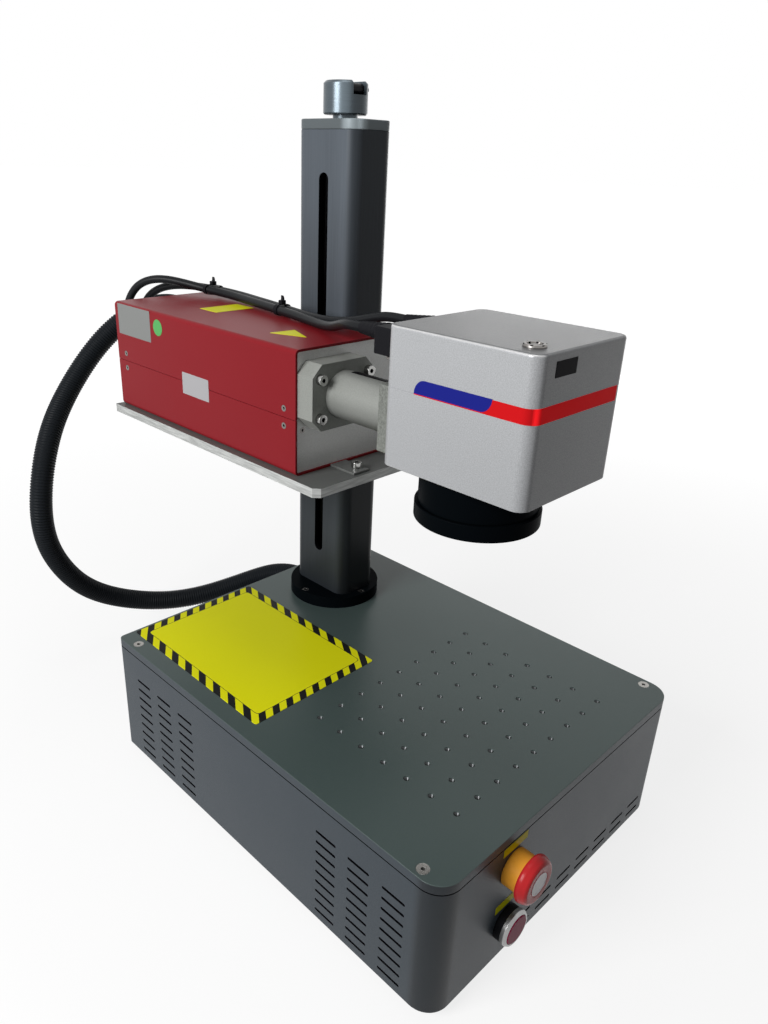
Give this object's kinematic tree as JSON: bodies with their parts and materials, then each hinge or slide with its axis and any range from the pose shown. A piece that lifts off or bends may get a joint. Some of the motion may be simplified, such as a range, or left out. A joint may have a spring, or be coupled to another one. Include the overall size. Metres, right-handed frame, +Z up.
{
  "type": "laser marking machine",
  "caption": "Bench-top laser marking machine: drilled work table on a vented base, column with a hand-cranked lift, laser source, beam expander and scan head.",
  "frame": {"origin": "on the ground under the middle of the machine's outline, hose and cables left out, with the head at its pictured height", "axes": "+X to the right, +Y to the rear, +Z up, seen from the front where the emergency stop is"},
  "size_m": [0.3318, 0.6727, 0.637],
  "materials": {
    "case_paint": "fine textured grey powder coat on folded steel sheet",
    "table_paint": "fine textured dark grey-green coat on aluminium plate",
    "zinc_sheet": "zinc-plated sheet",
    "black_steel": "black oxide screws",
    "bright_steel": "bright turned or chromed steel",
    "rubber": "moulded rubber",
    "yellow_print": "self-adhesive film, blank, with a plain border",
    "black_anodised": "satin black anodised aluminium",
    "column_finish": "brushed dark grey anodised aluminium",
    "cap_finish": "satin grey anodised aluminium",
    "stop_yellow": "moulded plastic",
    "stop_red": "moulded plastic",
    "black_plastic": "moulded plastic",
    "gunmetal": "turned gunmetal-grey anodised aluminium",
    "black_satin": "satin black anodised aluminium",
    "satin_steel": "satin turned steel",
    "button_red": "translucent moulded plastic",
    "board_green": "printed circuit board",
    "gland_black": "moulded nylon",
    "hose_black": "ribbed nylon conduit",
    "cable_black": "smooth cable jacket",
    "raw_aluminium": "milled aluminium",
    "blasted_aluminium": "bead-blasted aluminium",
    "red_anodised": "satin red anodised aluminium",
    "silver_anodised": "satin silver anodised aluminium",
    "motor_metal": "dark turned aluminium",
    "lens_glass": "coated optical glass",
    "mirror_face": "coated scanning mirror on a steel shaft",
    "switch_red": "moulded plastic"
  },
  "bodies": {
    "base": {"case_shell": "case_paint", "floor_plate": "zinc_sheet", "base_screws": "black_steel", "rubber_feet": "rubber", "table_plate": "table_paint", "table_screws": "bright_steel", "safety_panel": "yellow_print", "column_flange": "black_anodised", "column_screws": "black_steel", "column_tube": "column_finish", "column_cap": "cap_finish", "guide_rods": "bright_steel", "screw_bearings": "bright_steel", "stop_collar": "stop_yellow", "button_collar": "black_plastic", "button_bezel": "satin_steel", "contact_blocks": "black_plastic", "control_labels": "yellow_print", "power_supply": "zinc_sheet", "control_board": "board_green", "fan_frame": "black_plastic", "mains_inlet": "black_plastic", "base_gland": "gland_black", "hose": "hose_black"},
    "screw": {"lead_screw": "bright_steel", "hand_knob": "gunmetal", "handle_pin": "bright_steel"},
    "handle": {"folding_handle": "black_satin"},
    "head": {"nut_block": "column_finish", "side_brackets": "column_finish", "shelf_plate": "raw_aluminium", "shelf_screws": "black_steel", "laser_shell_upper": "red_anodised", "laser_shell_lower": "red_anodised", "laser_front_plate": "blasted_aluminium", "laser_rear_plate": "black_anodised", "laser_screws": "bright_steel", "laser_core": "raw_aluminium", "laser_feet": "blasted_aluminium", "laser_gland": "gland_black", "expander_flange": "blasted_aluminium", "cap_screws": "bright_steel", "expander_tube": "blasted_aluminium", "adapter_plate": "blasted_aluminium", "scanner_body": "silver_anodised", "scanner_cover": "silver_anodised", "top_plug": "silver_anodised", "lens_barrel": "black_anodised", "lens_ring": "black_anodised", "optics_glass": "lens_glass", "scan_motors": "motor_metal", "scanner_plugs": "black_plastic", "scanner_cables": "cable_black"},
    "x_scanner": {"x_mirror": "mirror_face"},
    "y_scanner": {"y_mirror": "mirror_face"},
    "stop_rod": {"stop_stem": "bright_steel"},
    "stop_cap": {"stop_head": "stop_red"},
    "button": {"button_plunger": "button_red"},
    "fan": {"fan_rotor": "black_plastic"},
    "switch": {"rocker": "switch_red"}
  },
  "joints": [
    {"name": "head_lift", "type": "slide", "parent": "base", "child": "head", "axis": [0, 0, 1], "range_m": [-0.14, 0.14], "deforming": ["hose"]},
    {"name": "screw_turn", "type": "hinge", "parent": "base", "child": "screw", "pos_m": [0.0665, 0.09525, 0.4], "axis": [0, 0, 1], "range_deg": [-10090, 10090]},
    {"name": "handle_fold", "type": "hinge", "parent": "screw", "child": "handle", "pos_m": [0.0665, 0.08475, 0.631], "axis": [1, 0, 0], "range_deg": [0, 180]},
    {"name": "stop_push", "type": "slide", "parent": "base", "child": "stop_rod", "axis": [0, 1, 0], "range_m": [0, 0.004]},
    {"name": "stop_twist", "type": "hinge", "parent": "stop_rod", "child": "stop_cap", "pos_m": [-0.079, -0.27225, 0.102], "axis": [0, 1, 0], "range_deg": [0, 45], "stiffness_Nm_per_rad": 0.1, "springref_deg": -5.73},
    {"name": "button_press", "type": "slide", "parent": "base", "child": "button", "axis": [0, 1, 0], "range_m": [0, 0.0025], "stiffness_N_per_m": 500, "springref_m": -0.002},
    {"name": "fan_spin", "type": "hinge", "parent": "base", "child": "fan", "pos_m": [-0.02, 0.14775, 0.07], "axis": [0, 1, 0], "continuous": true},
    {"name": "switch_tilt", "type": "hinge", "parent": "base", "child": "switch", "pos_m": [-0.11, 0.15775, 0.057], "axis": [1, 0, 0], "range_deg": [-20, 0]},
    {"name": "x_swing", "type": "hinge", "parent": "head", "child": "x_scanner", "pos_m": [-0.049, -0.15385, 0.406], "axis": [0, 0, 1], "range_deg": [-12, 12]},
    {"name": "y_swing", "type": "hinge", "parent": "head", "child": "y_scanner", "pos_m": [-0.027, -0.15385, 0.406], "axis": [0, 1, 0], "range_deg": [-12, 12]}
  ],
  "couplings": [
    {"joint": "screw_turn", "follows": "head_lift", "rad_per_m": -1256.6}
  ]
}
